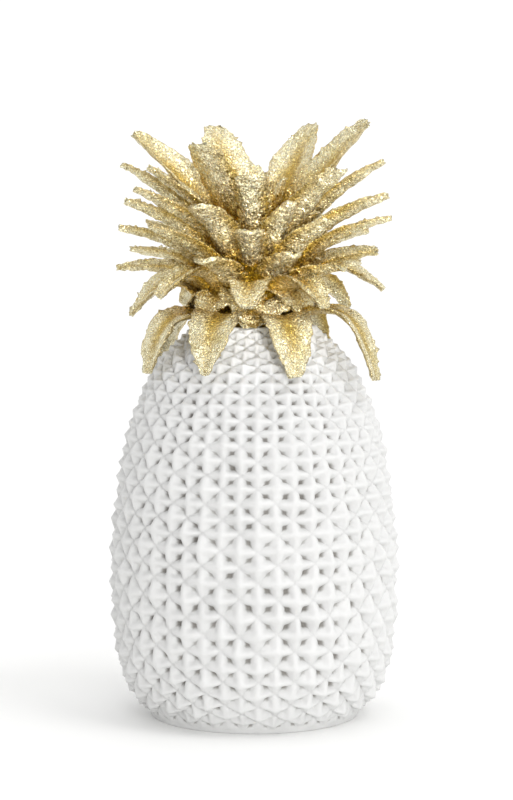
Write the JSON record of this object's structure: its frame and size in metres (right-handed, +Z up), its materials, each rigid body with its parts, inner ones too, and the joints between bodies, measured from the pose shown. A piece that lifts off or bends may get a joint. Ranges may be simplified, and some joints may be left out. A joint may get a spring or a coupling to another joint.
{
  "type": "pineapple ornament",
  "caption": "Standing pineapple ornament: an egg-shaped body covered in pointed studs, flat underneath, with a loose crown of long curved leaves on top.",
  "frame": {"origin": "centre of the flat underside", "axes": "+Z up along the ornament's height, front towards -Y, +X to the right seen from the front"},
  "size_m": [0.1218, 0.1218, 0.2499],
  "materials": {
    "white_resin": "satin white paint on cast resin",
    "gold_paint": "crinkled champagne gold leaf paint on cast resin"
  },
  "bodies": {
    "root": {"body": "white_resin", "crown": "gold_paint"}
  },
  "joints": []
}
